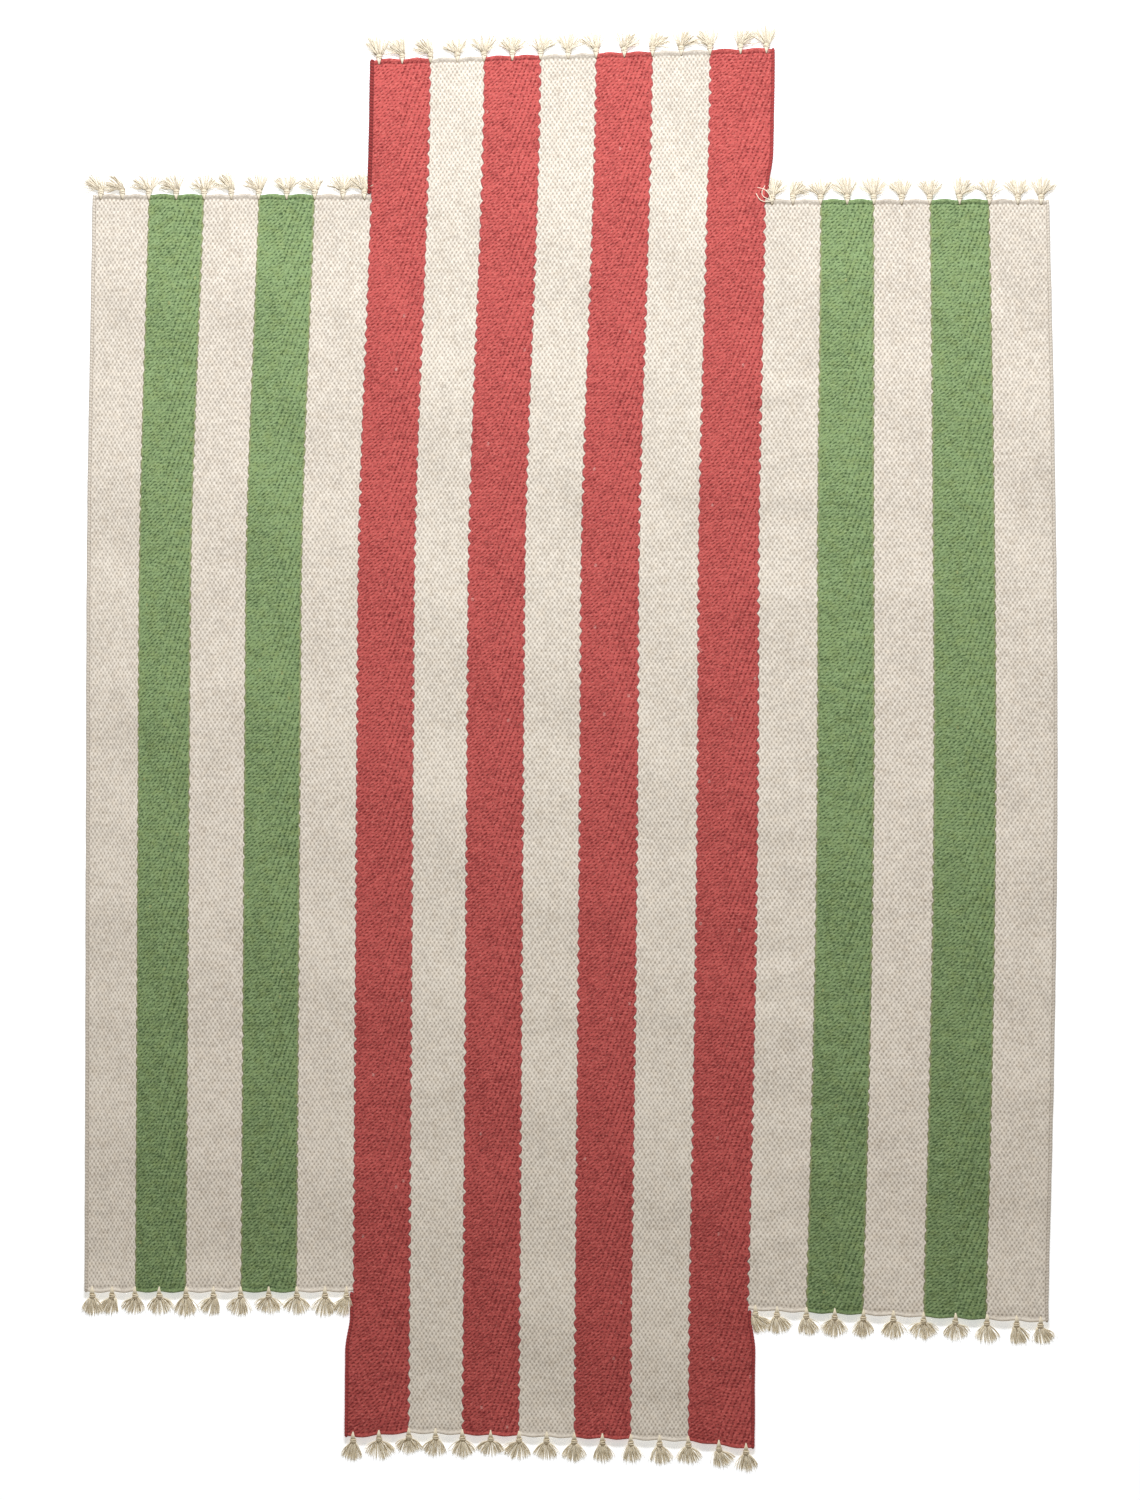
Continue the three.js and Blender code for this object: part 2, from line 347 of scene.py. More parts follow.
class Boundary:
    """The line between two stripes, or a stripe's free edge, which is straight."""

    def __init__(self, x, left, right, joined, seed):
        self.x = x
        self.joined = joined  # the heights between which the two stripes meet
        self.phase = np.random.default_rng(seed).uniform(0, 1)
        self.depth = 0.0  # the coloured stripe's lobes reach into the cream one, towards +X or -X
        if left and right:
            self.depth = SCALLOP_DEPTH[left] if left != "cream" else -SCALLOP_DEPTH[right]

    def meets(self, y):
        low, high = self.joined
        return smoothstep(y, low, low + 0.01) * (1 - smoothstep(y, high - 0.01, high))

    def shift(self, y):
        return boundary_shift(self.phase, y, self.depth) * self.meets(y)


def spaced(length, step, extra):
    """Grid lines over a length, two for each half step, with extra ones close to both ends."""
    lines = np.linspace(0, length, 2 * max(1, round(length / step)) + 1)
    ends = np.array(extra)
    return np.concatenate([lines[:1], ends, lines[1:-1], length - ends[::-1], lines[-1:]])


def stripe(panel, name, colour, left, right, seed):
    """One stripe of the cloth as a closed mesh with its weave on both faces."""
    twill = colour != "cream"
    pitch = FLOAT if twill else BEAD
    a = left.x + JOINT / 2
    width = right.x - left.x - JOINT
    x_middle = a + width / 2
    length = float(end_at(panel, "top", x_middle) - end_at(panel, "bottom", x_middle))
    columns = spaced(width, pitch / 2, [])
    rows = spaced(length, PICK, [0.0006, 0.0015])
    picks = round(length / PICK)
    rng = np.random.default_rng(seed)

    u, v = np.meshgrid(columns, rows)
    x = a + u
    low, high = end_at(panel, "bottom", x), end_at(panel, "top", x)
    y = low + (high - low) * v / length
    pick = v / length * picks
    true_u = u / width * round(width / (pitch / 2)) / 2 * pitch

    # heights, with every bead a little different
    past_middle = u - width * (0.5 + 0.03 * np.sin(2 * np.pi * v / 0.4))
    loose_u, loose_pick = true_u + 0.0016 * beat(x * 9, y * 5), pick + 0.30 * mottle(x * 7, y * 5)
    if twill:
        height = twill_weave(loose_u, loose_pick, past_middle > 0)
    else:
        height = plain_weave(true_u, pick)
    height = height + rng.normal(0, UNEVEN_BEADS, height.shape)
    from_end = np.minimum(v, length - v)
    hem = 1 - smoothstep(from_end, HEM * 0.85, HEM * 1.15)
    groove = np.exp(-(((from_end - HEM * 1.35) / GROOVE_WIDTH) ** 2))
    rolled_weft = 0.75 + 0.2 * np.cos(np.pi * pick * 2 + true_u * 900)
    height = height * (1 - hem) + hem * rolled_weft - GROOVE_DEPTH * groove
    from_edge = np.minimum(u, width - u)
    seam = 1 - smoothstep(from_edge, 0.0, INTERLOCK)
    relief = RELIEF["twill" if twill else "plain"]
    rolled = 1 - np.sqrt(np.clip(1 - (1 - np.minimum(from_end / ROLL, 1)) ** 2, 0, 1))

    # the threads' places
    near_left = 1 - smoothstep(u, 0.0, SCALLOP_REACH)
    near_right = 1 - smoothstep(width - u, 0.0, SCALLOP_REACH)
    settle = smoothstep(from_end, 0.004, 0.02)
    x = x + (near_left * left.shift(y) + near_right * right.shift(y)) * settle
    y = y + 0.0007 * beat(x, y) * settle
    drawn = DRAWN_IN * np.cos(4 * np.pi * u / width) + 0.0005 * beat(x * 5, y)
    y = y + drawn * (1 - smoothstep(v, 0, DRAWN_REACH))
    y = y - drawn * (1 - smoothstep(length - v, 0, DRAWN_REACH))
    floor = lift(panel, x, y)
    body = THICKNESS - relief * 1.1
    top = body + relief * height - 0.0002 * seam + HEM_RISE * hem
    top = floor + THICKNESS / 2 + (top - THICKNESS / 2) * (1 - rolled)
    world_x = drifted(x, y) + SHIFT_X
    world_y = y - droop(panel, x, y) + SHIFT_Y
    upper = np.stack([world_x, world_y, top], axis=-1)

    # the underside has the same weave at half the number of points each way
    few = (slice(None, None, 2), slice(None, None, 2))
    under = relief * (1 - np.roll(height, 1, axis=0)[few]) * 0.9 + 0.0006 * seam[few]
    under = under - 0.0003 * hem[few]
    bottom = floor[few] + np.maximum(under, 0) * (1 - rolled[few]) + THICKNESS / 2 * rolled[few]
    lower = np.stack([world_x[few], world_y[few], bottom], axis=-1)

    # what the material has to know: the place in the weave, and where the cloth is paler or darker
    # the fall in tone along a stripe isn't known of the wool: it makes up for shading that one lamp leaves out
    if twill:
        shading = DYED_SHADING * (1 - v / length) ** 2
    else:
        shading = CREAM_SHADING * (v / length) ** 2
    tone = 0.14 * mottle(x * 0.8, y) + 0.06 * mottle(x * 3, y + 7) - shading
    upper_half = v > length / 2
    # painted shade in the groove between the hem and the cloth, deeper at the top end
    tone = tone - np.where(upper_half, GROOVE_PAINTED_SHADE["top"], GROOVE_PAINTED_SHADE["bottom"]) * groove
    # the hems painted darker at the top end and lighter at the bottom: painted shade and painted light
    tone = tone + np.where(upper_half, TOP_HEM_PAINTED_SHADE["twill" if twill else "plain"], BOTTOM_HEM_PAINTED_LIGHT) * hem
    fringe = np.zeros_like(u)
    for edge, near in ((left, u), (right, width - u)):
        if edge.depth:
            lobe = abs(np.sin(np.pi * (y / SCALLOP + edge.phase)))
            reach = INTERLOCK + LOBE_INTERLOCK * lobe
            mixed = (1 - smoothstep(near, reach * 0.4, reach)) * (0.35 + 0.65 * lobe)
            fringe = np.maximum(fringe, mixed * edge.meets(y))

    n_rows, n_columns = u.shape
    few_rows, few_columns = bottom.shape
    first = n_rows * n_columns
    top_index = np.arange(first).reshape(n_rows, n_columns)
    low_index = first + np.arange(few_rows * few_columns).reshape(few_rows, few_columns)

    def wall(over, under_it, turned):
        """Triangles between two upper steps and one lower step."""
        t0, t1, t2 = over[:-2:2], over[1:-1:2], over[2::2]
        b0, b1 = under_it[:-1], under_it[1:]
        trio = [(b0, t1, t0), (b0, b1, t1), (b1, t2, t1)]
        if turned:
            trio = [(p, r, q) for p, q, r in trio]
        return np.concatenate([np.stack(t, axis=-1) for t in trio])

    walls = np.concatenate([
        wall(top_index[:, -1], low_index[:, -1], False),
        wall(top_index[:, 0], low_index[:, 0], True),
        wall(top_index[0], low_index[0], False),
        wall(top_index[-1], low_index[-1], True),
    ])
    faces = [
        grid_faces(n_rows, n_columns),
        grid_faces(few_rows, few_columns, first, turned=True),
        walls,
    ]
    across, down = columns / width, rows / length
    top_uv = strip_layout(down, across, 7, 4, 0, 4)
    low_uv = strip_layout(down[::2], across[::2], 7, 2, 4, 6)[:, :, [0, 3, 2, 1]]
    wall_uv = np.tile([[0.94, 0.1], [0.96, 0.1], [0.96, 0.12]], (len(walls), 1))
    known = {
        "across": true_u / pitch,
        "pick": pick,
        "past_middle": past_middle,
        "tone": tone,
        "fringe": fringe,
        "hem": hem,
        "stripe": np.full(u.shape, float(seed)),
    }
    attributes = {
        label: np.concatenate([values.ravel(), values[few].ravel()])
        for label, values in known.items()
    }
    points = np.concatenate([upper.reshape(-1, 3), lower.reshape(-1, 3)])
    piece = closed_mesh(name + "_cloth", points, faces, [top_uv, low_uv, wall_uv], attributes)
    piece.data.materials.append(WOOL[colour])
    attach(piece, "root")
    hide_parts(name)
    colour + "_wool"
    # as woven, the stripe isn't a rectangle: it is as wide at each height as it lies there
    woven = drifted(a + width, rows + low[0, 0]) - drifted(a, rows + low[0, 0])
    area = float(np.sum((woven[1:] + woven[:-1]) / 2 * np.diff(rows)))
    return piece


# Materials


class Number:
    """A number in a material's nodes, so that a formula can be written as one."""

    def __init__(self, nodes, socket):
        self.nodes, self.socket = nodes, socket

    def _do(self, operation, *others):
        inputs = {0: self, **{i + 1: other for i, other in enumerate(others)}}
        made = self.nodes.make("ShaderNodeMath", inputs, operation=operation)
        return Number(self.nodes, made.outputs[0])

    def __add__(self, other):
        return self._do("ADD", other)

    def __sub__(self, other):
        return self._do("SUBTRACT", other)

    def __rsub__(self, other):
        return self * -1 + other

    def __mul__(self, other):
        return self._do("MULTIPLY", other)

    def __pow__(self, other):
        return self._do("POWER", other)

    __radd__ = __add__
    __rmul__ = __mul__

    def cosine(self):
        """The cosine of this many turns."""
        return (self * (2 * math.pi))._do("COSINE")

    def floor(self):
        return self._do("FLOOR")

    def above(self, other):
        return self._do("GREATER_THAN", other)

    def ramp(self, low, high, start=0.0, end=1.0):
        made = self.nodes.make("ShaderNodeMapRange", {
            "Value": self, "From Min": low, "From Max": high, "To Min": start, "To Max": end,
        })
        return Number(self.nodes, made.outputs[0])


class Nodes:
    """Makes the nodes of one material."""

    def __init__(self, material):
        self.tree = material.node_tree

    def make(self, kind, inputs=(), **settings):
        node = self.tree.nodes.new(kind)
        for key, value in settings.items():
            setattr(node, key, value)
        for key, value in dict(inputs).items():
            if isinstance(value, Number):
                value = value.socket
            if isinstance(value, bpy.types.NodeSocket):
                self.tree.links.new(value, node.inputs[key])
            else:
                node.inputs[key].default_value = value
        return node

    def known(self, name):
        return Number(self, self.make("ShaderNodeAttribute", attribute_name=name).outputs["Fac"])

    def vector(self, x, y):
        return self.make("ShaderNodeCombineXYZ", {"X": x, "Y": y}).outputs[0]

    def place(self, *scale):
        place = self.make("ShaderNodeTexCoord").outputs["Object"]
        return self.make("ShaderNodeMapping", {"Vector": place, "Scale": scale}).outputs[0]

    def noise(self, vector, detail=2.0, roughness=0.5):
        made = self.make("ShaderNodeTexNoise", {
            "Vector": vector, "Scale": 1.0, "Detail": detail, "Roughness": roughness,
        })
        return Number(self, made.outputs[0])

    def chance(self, x, y):
        made = self.make("ShaderNodeTexWhiteNoise", {"Vector": self.vector(x, y)}, noise_dimensions="2D")
        return Number(self, made.outputs[0])

    def mix(self, share, first, second, **settings):
        made = self.make("ShaderNodeMix", {"Factor": share}, data_type="RGBA", **settings)
        for key, colour in ((6, first), (7, second)):
            if isinstance(colour, bpy.types.NodeSocket):
                self.tree.links.new(colour, made.inputs[key])
            else:
                made.inputs[key].default_value = (*colour, 1)
        return made.outputs[2]


def principled(name, roughness, sheen):
    material = bpy.data.materials.new(name)
    material.use_nodes = True
    shader = material.node_tree.nodes["Principled BSDF"]
    shader.inputs["Roughness"].default_value = roughness
    shader.inputs["Specular IOR Level"].default_value = 0.2
    shader.inputs["Sheen Weight"].default_value = sheen
    shader.inputs["Sheen Roughness"].default_value = 0.5
    return material, shader, Nodes(material)


def woven_height(nodes, twill, unevenness):
    """The weave as the material draws it, 0 in the pits and 1 on the beads, and a number for each bead."""
    across, pick = nodes.known("across"), nodes.known("pick")
    stripe = nodes.known("stripe") * 13.7
    nudge = nodes.noise(nodes.vector(across * 0.9 + stripe, pick * 0.7), 1.0)
    push = nodes.noise(nodes.vector(across * 0.8 - stripe, pick * 0.9 + 40.0), 1.0)
    across = across + (nudge - 0.5) * unevenness
    pick = pick + (push - 0.5) * unevenness
    row = (pick + 0.5).floor()
    if not twill:
        bead = across.cosine() * (pick * 0.5).cosine()
        height = 1 - ((1 - bead) * 0.5) ** PLAIN_PIT
        return height, nodes.chance((across + row * 0.5 + 0.5).floor() + stripe, row)
    climb = nodes.known("past_middle").above(0.0) * -0.5 + 0.75
    line = ((across - pick * climb).cosine() * 0.5 + 0.5) ** 3
    furrow = 0.5 - pick.cosine() * 0.5
    pit_row = pick.floor() + 0.5
    depth = nodes.chance((across - pit_row * climb + 0.5).floor() + stripe, pit_row) * 0.9 + 0.55
    height = 0.97 - line * (furrow * TWILL_PIT + 0.14) * depth - furrow * 0.10
    return height, nodes.chance((across - row * climb).floor() + stripe, row)


def wool(name, twill, deep, light, painted_glint, warm, speck, fringe=None):
    """Woven wool: `deep` in its pits and `light` on its beads, the pits' darkness partly painted shade, each
    bead with its own tone, in patches of uneven dye, `warm`, with a painted highlight on the brightest flecks,
    `painted_glint`, and here and there a stray fibre, `speck`."""
    material, shader, nodes = principled(name, 0.92, 0.12)
    height, own = woven_height(nodes, twill, 0.75 if twill else 0.45)
    hem, stripe = nodes.known("hem"), nodes.known("stripe") * 7.3
    across, pick = nodes.known("across"), nodes.known("pick")
    height = height * (1 - hem) + hem * 0.8
    fibres = nodes.noise(nodes.place(420, 900, 900), 3.0, 0.65)
    streaks = nodes.noise(nodes.vector(across * 0.20 + stripe, pick * 0.8), 2.0)
    # from `deep` to `light`: darker in the pits and lighter on the beads, partly painted shade, with each
    # bead's own tone, streaks, fibres, flecks and the mesh's tone, which holds the stripe's painted light and
    # shade
    lit = height * 0.95 + (own - 0.5) * OWN_TONE[twill]
    lit = lit + (streaks - 0.5) * 0.4 + (fibres - 0.5) * 0.5
    slant = nodes.vector(across * 2.1 - pick * 0.9 + stripe, pick * 1.5 + across * 0.6)
    flecks = nodes.noise(slant, 1.5, 0.6)
    lit = lit + (flecks - 0.5) * FLECK_TONE[twill] + nodes.known("tone")
    colour = nodes.mix(lit, deep, light, clamp_factor=True)
    patches = nodes.noise(nodes.vector(across * 0.35 + stripe, pick * 0.30), 3.0, 0.6)
    colour = nodes.mix(patches.ramp(0.44, 0.70, 0.0, 0.7), colour, warm, blend_type="MULTIPLY")
    # painted highlight on the brightest flecks
    colour = nodes.mix(flecks.ramp(0.54, 0.74) * 0.42, colour, painted_glint)
    if fringe:
        colour = nodes.mix(nodes.known("fringe") * 0.6, colour, fringe)
    row = (pick + 0.5).floor()
    thread = (across * 2.0 + row * 0.5).floor() + stripe * 3.1
    stray = nodes.chance(thread, row).above(1 - SPECK_SHARE[twill])
    colour = nodes.mix(stray * fibres.ramp(0.40, 0.6) * 0.6, colour, speck)
    nodes.tree.links.new(colour, shader.inputs["Base Color"])
    relief = nodes.make("ShaderNodeBump", {
        "Height": height * 0.6 + fibres * 0.5, "Strength": 0.6, "Distance": 0.0006,
    })
    nodes.tree.links.new(relief.outputs[0], shader.inputs["Normal"])
    return material


def yarn(name, deep, light, fibre_size, roughness, bump):
    """Loose yarn or cord: the mesh says where it is `deep` and where `light`."""
    material, shader, nodes = principled(name, roughness, 0.1)
    fibres = nodes.noise(nodes.place(*fibre_size), 3.0, 0.6)
    colour = nodes.mix(nodes.known("shade") + (fibres - 0.5) * 0.6, deep, light, clamp_factor=True)
    nodes.tree.links.new(colour, shader.inputs["Base Color"])
    if bump:
        relief = nodes.make("ShaderNodeBump", {"Height": fibres, "Strength": 0.6, "Distance": 0.0006})
        nodes.tree.links.new(relief.outputs[0], shader.inputs["Normal"])
    return material


# These three are for plain weave, False, and for twill, True.
OWN_TONE = {False: 0.26, True: 0.40}  # how much the beads' tones differ
FLECK_TONE = {False: 0.6, True: 1.3}  # how much the flecks along the threads show
SPECK_SHARE = {False: 0.0015, True: 0.0008}  # the share of beads with a stray fibre
TWILL_PIT = 1.0  # how dark the twill's pits are
# Each yarn's colour in the pits, partly painted shade, and on the beads.
CREAM = (0.40, 0.345, 0.28), (0.85, 0.765, 0.645)
GREEN = (0.060, 0.100, 0.038), (0.256, 0.364, 0.158)
RED = (0.195, 0.023, 0.022), (0.57, 0.105, 0.092)
CORD_RED = (0.09, 0.008, 0.008), (0.42, 0.062, 0.058)
WOOL = {
    "cream": wool(
        "cream wool", False, *CREAM,
        painted_glint=(0.93, 0.87, 0.78), warm=(0.97, 0.94, 0.90), speck=(0.26, 0.20, 0.15),
    ),
    "green": wool(
        "green wool", True, *GREEN,
        painted_glint=(0.42, 0.50, 0.29), warm=(1.0, 0.93, 0.78), speck=(0.44, 0.42, 0.16),
        fringe=(0.33, 0.32, 0.15),
    ),
    "red": wool(
        "red wool", True, *RED,
        painted_glint=(0.74, 0.25, 0.21), warm=(0.88, 0.82, 0.88), speck=(0.75, 0.46, 0.40),
        fringe=(0.44, 0.085, 0.085),
    ),
}
CORD = {
    "cream": yarn("cream cord", *CREAM, (900, 420, 900), 0.92, True),
    "red": yarn("red cord", *CORD_RED, (900, 420, 900), 0.92, True),
}
YARN_FIBRES = (700, 300, 700)  # how fine the fibres are along each axis, per metre
# One cotton, painted lighter at the bottom end to make up for the hem's shadow, which the tassels lie in.
COTTON = {
    "top": yarn("cotton yarn", (0.38, 0.30, 0.19), (0.90, 0.81, 0.64), YARN_FIBRES, 0.85, False),
    "bottom": yarn("cotton yarn painted lighter", (0.56, 0.44, 0.28), (0.98, 0.88, 0.67), YARN_FIBRES, 0.85, False),
}
# Threads that have worked loose from one tassel: how each leans, its length and its bend.
LOOSE_THREADS = {
    "right_tassel_top_01": [(-48, 0.040, 30), (-60, 0.036, -35), (-38, 0.034, 60), (-20, 0.040, -50)],
}


# Tubes: tassels and selvedges


class Tubes:
    """Collects closed tubes and makes one mesh of them, each with its own strip of the bake map."""

    def __init__(self):
        self.points, self.quads, self.caps, self.shades = [], [], [], []
        self.quad_uv, self.cap_uv = [], []
        self.count = 0
        self.made = 0

    def add(self, path, radii, shade, sides, rows, flat=1.0, ridges=None):
        """A tube along path; `rows` counts the strips in the bake map, and ridges(t, angle) scales it."""
        path = np.asarray(path, float)
        radii = np.broadcast_to(np.asarray(radii, float), len(path))
        tangent = np.gradient(path, axis=0)
        tangent /= np.linalg.norm(tangent, axis=1)[:, None] + 1e-12
        side = np.cross(tangent, (0, 0, 1.0))
        side /= np.linalg.norm(side, axis=1)[:, None] + 1e-9
        over = np.cross(side, tangent)
        turn = np.arange(sides) * 2 * np.pi / sides
        scale = np.ones((len(path), sides))
        if ridges is not None:
            scale = ridges(np.linspace(0, 1, len(path))[:, None], turn[None])
        reach = radii[:, None] * scale
        ring = path[:, None] + reach[..., None] * (
            np.cos(turn)[None, :, None] * side[:, None] + flat * np.sin(turn)[None, :, None] * over[:, None]
        )
        self.points.append(ring.reshape(-1, 3))
        self.quads.append(grid_faces(len(path), sides, self.count, closed=True, turned=True))
        ends = self.count + np.array([np.arange(sides), (len(path) - 1) * sides + np.arange(sides)[::-1]])
        self.caps.append(ends)
        along = np.linspace(0.01, 0.99, len(path))
        around = (self.made + 0.1 + 0.8 * np.linspace(0, 1, sides + 1)) / rows
        u = np.stack([along[:-1], along[:-1], along[1:], along[1:]], axis=-1)
        v = np.stack([around[:-1], around[1:], around[1:], around[:-1]], axis=-1)
        corner = np.stack([
            np.broadcast_to(u[:, None], (len(path) - 1, sides, 4)),
            np.broadcast_to(v[None], (len(path) - 1, sides, 4)),
        ], axis=-1)
        self.quad_uv.append(corner[:, :, [0, 3, 2, 1]].reshape(-1, 2))
        cap_u = np.array([0.005, 0.995])[:, None] * np.ones(sides)
        cap_v = np.full((2, sides), (self.made + 0.5) / rows)
        self.cap_uv.append(np.stack([cap_u, cap_v], axis=-1).reshape(-1, 2))
        if np.ndim(shade) == 2:
            self.shades.append(np.asarray(shade, float).ravel())
        else:
            self.shades.append(np.repeat(np.broadcast_to(shade, len(path)), sides))
        self.count += len(path) * sides
        self.made += 1

    def piece(self, name, material):
        kinds = {}
        for faces, uv in zip(self.quads + self.caps, self.quad_uv + self.cap_uv):
            kept = kinds.setdefault(faces.shape[1], ([], []))
            kept[0].append(faces)
            kept[1].append(uv)
        faces = [np.concatenate(f) for f, _ in kinds.values()]
        corners = [np.concatenate(c) for _, c in kinds.values()]
        shade = np.concatenate(self.shades)
        piece = closed_mesh(name, np.concatenate(self.points), faces, corners, {"shade": shade})
        piece.data.materials.append(material)
        return piece


KNOT_FROM, KNOT_TO = 0.0018, 0.0112
KNOT_WIDTH, KNOT_THICKNESS = 0.0102, 0.0078
KNOT_HEIGHT = 0.0064  # of the middle of a knot, which hangs from the hem's upper side
THREADS = 64
HEAD_THREADS = 7
STRAYS = 8
TASSEL_TUBES = THREADS + HEAD_THREADS + STRAYS + 4
HEAD_LENGTH = 0.0135
SETTLES = 0.008  # within what length a tassel comes down from the lifted cloth to the floor
# The top end's tassels are wispy and drawn into the cloth; the bottom end's lie in neat brushes. The bottom
# ones' higher tone, like their paler yarn in COTTON, is painted light that makes up for the hem's shadow.
TASSEL_KINDS = {
    "top": {
        "drawn_in": 0.0028, "head_from": -0.0070, "length": 0.037, "shortest": 0.78, "bend": 18,
        "fan": 1.15, "thread": 0.00056, "tone": 0.68,
    },
    "bottom": {
        "drawn_in": 0.0, "head_from": -0.0098, "length": 0.0335, "shortest": 0.86, "bend": 10,
        "fan": 1.0, "thread": 0.00066, "tone": 0.84,
    },
}


def tassel(name, replaced, panel, mouth_x, mouth_y, way, lean, spread, seed):
    """One tassel: a head of warp yarns that comes up through the hem, an overhand knot and loose ends."""
    kind = TASSEL_KINDS["top" if way > 0 else "bottom"]
    rng = np.random.default_rng(seed)
    tubes = Tubes()
    start = np.array([mouth_x, mouth_y, float(lift(panel, mouth_x - SHIFT_X, mouth_y - SHIFT_Y))])

    def place(across, out, height):
        out = out - kind["drawn_in"]
        offset = np.stack(np.broadcast_arrays(across, way * np.asarray(out), height), axis=-1)
        lifted = start[2] * np.exp(-np.maximum(np.asarray(out), 0)[..., None] / SETTLES)
        return start * (1, 1, 0) + offset + (0, 0, 1) * lifted

    # the head, a narrow bundle that widens from the point where it leaves the cloth to the knot
    s = np.linspace(0, 1, 7)
    for i in range(HEAD_THREADS):
        at = (i + 0.5) / HEAD_THREADS * 2 - 1
        across = at * 0.0034 * smoothstep(s, -0.1, 0.9) + rng.normal(0, 0.0002)
        out = kind["head_from"] + s * HEAD_LENGTH
        bulge = np.sqrt(max(0.0, 1 - at * at))
        height = 0.0056 + 0.0030 * smoothstep(s, 0, 0.35) + 0.0006 * bulge
        height = height - 0.0015 * smoothstep(s, 0.7, 1.0)
        tubes.add(place(across, out, height), 0.00115, 0.72 + rng.normal(0, 0.12), 6, TASSEL_TUBES)

    # the knot: a fat barrel with its yarns wound round it, and two turns that cross over it
    s = np.linspace(0, 1, 13)
    barrel = 0.62 + 0.38 * np.sin(np.pi * np.clip(s, 0.02, 0.98)) ** 0.6
    tilt = rng.uniform(-0.35, 0.35)
    hand = rng.choice([-1, 1])
    tubes.add(
        place(rng.normal(0, 0.0003) * s, KNOT_FROM + (KNOT_TO - KNOT_FROM) * s, np.full(13, KNOT_HEIGHT)),
        barrel * KNOT_WIDTH / 2, 0.62, 18, TASSEL_TUBES, flat=KNOT_THICKNESS / KNOT_WIDTH,
        ridges=lambda t, turn: 1 + 0.09 * np.cos(6 * turn + hand * 5 * t),
    )
    for turn_at in (0.30, 0.62, 0.9):
        angle = np.linspace(0, 2 * np.pi, 15)
        across = 0.53 * KNOT_WIDTH * np.cos(angle) * (1 - 0.25 * (turn_at > 0.8))
        height = KNOT_HEIGHT + 0.56 * KNOT_THICKNESS * np.sin(angle) * (1 - 0.25 * (turn_at > 0.8))
        out = KNOT_FROM + turn_at * (KNOT_TO - KNOT_FROM) + across * tilt * (1 if turn_at < 0.5 else -0.6)
        path = place(across, out, np.maximum(height, 0.0008))
        tubes.add(path, 0.00085, 0.68 + rng.normal(0, 0.08), 6, TASSEL_TUBES)

    # the fan: loose ends in a few clumps that spring out of the knot, droop to the floor and fray
    wispy = way > 0
    clumps = rng.integers(5, 8)
    middle = np.linspace(-1, 1, clumps) + rng.normal(0, 0.12, clumps)
    longest = kind["length"] * (1 - 0.08 * (spread > 40)) * rng.uniform(0.92, 1.06)
    s = np.linspace(0, 1, 8)
    step = 1 / 7
    for i in range(THREADS + STRAYS):
        stray = i >= THREADS
        own = np.clip(middle[i % clumps] + rng.normal(0, 0.24), -1.25, 1.25)
        if stray:
            own = rng.uniform(-1.4, 1.4)
        bend = math.radians(rng.normal(0, kind["bend"]))
        opened = 0.75 + 0.35 * s if wispy else 1.40 - 0.70 * smoothstep(s, 0.0, 0.75)
        fanned = math.radians(spread * own) * kind["fan"] * opened
        angle = math.radians(lean) * smoothstep(s, -0.6, 0.5) + fanned
        angle = angle + bend * np.sin(np.pi * s)
        reach = longest * (1 - 0.12 * abs(own)) * rng.uniform(kind["shortest"], 1.06)
        reach = reach * (1.12 if stray else 1)
        across = own * 0.0044 + np.concatenate([[0], np.cumsum(np.sin(angle[1:]) * reach * step)])
        out = KNOT_TO - 0.0014 + np.concatenate([[0], np.cumsum(np.cos(angle[1:]) * reach * step)])
        layer = rng.uniform(0, 1)
        top = KNOT_HEIGHT - 0.0022 + 0.0044 * layer
        end = 0.0010 + 0.0036 * layer * rng.uniform(0.4, 1)
        height = top + (end - top) * smoothstep(s, 0.2, 0.95) + 0.0012 * np.sin(np.pi * s) * layer
        out = np.maximum(out, 0.0035 + 0.004 * s)
        thick = 0.00034 if stray else kind["thread"]
        radius = thick * (1 - 0.35 * s**2) * np.where(s > 0.95, 0.6, 1)
        # painted shade near the knot, where the threads bunch, and a little lighter towards the tips
        tone = kind["tone"] + rng.normal(0, 0.16) - 0.22 * (1 - smoothstep(s, 0.0, 0.35)) + 0.12 * s
        tubes.add(place(across, out, height), radius, tone, 5, TASSEL_TUBES)
    for loose_lean, reach, bend in LOOSE_THREADS.get(name, []):
        angle = math.radians(loose_lean) + math.radians(bend) * np.sin(1.6 * np.pi * s)
        across = np.concatenate([[0], np.cumsum(np.sin(angle[1:]) * reach * step)])
        out = -0.002 + np.concatenate([[0], np.cumsum(np.cos(angle[1:]) * reach * step)])
        tubes.add(place(across, out, 0.0105 - 0.002 * s), 0.0007, 1.4, 6, TASSEL_TUBES + 4)
    piece = tubes.piece(name, COTTON["top" if wispy else "bottom"])
    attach(piece, "root")
    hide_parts(replaced)
    return piece


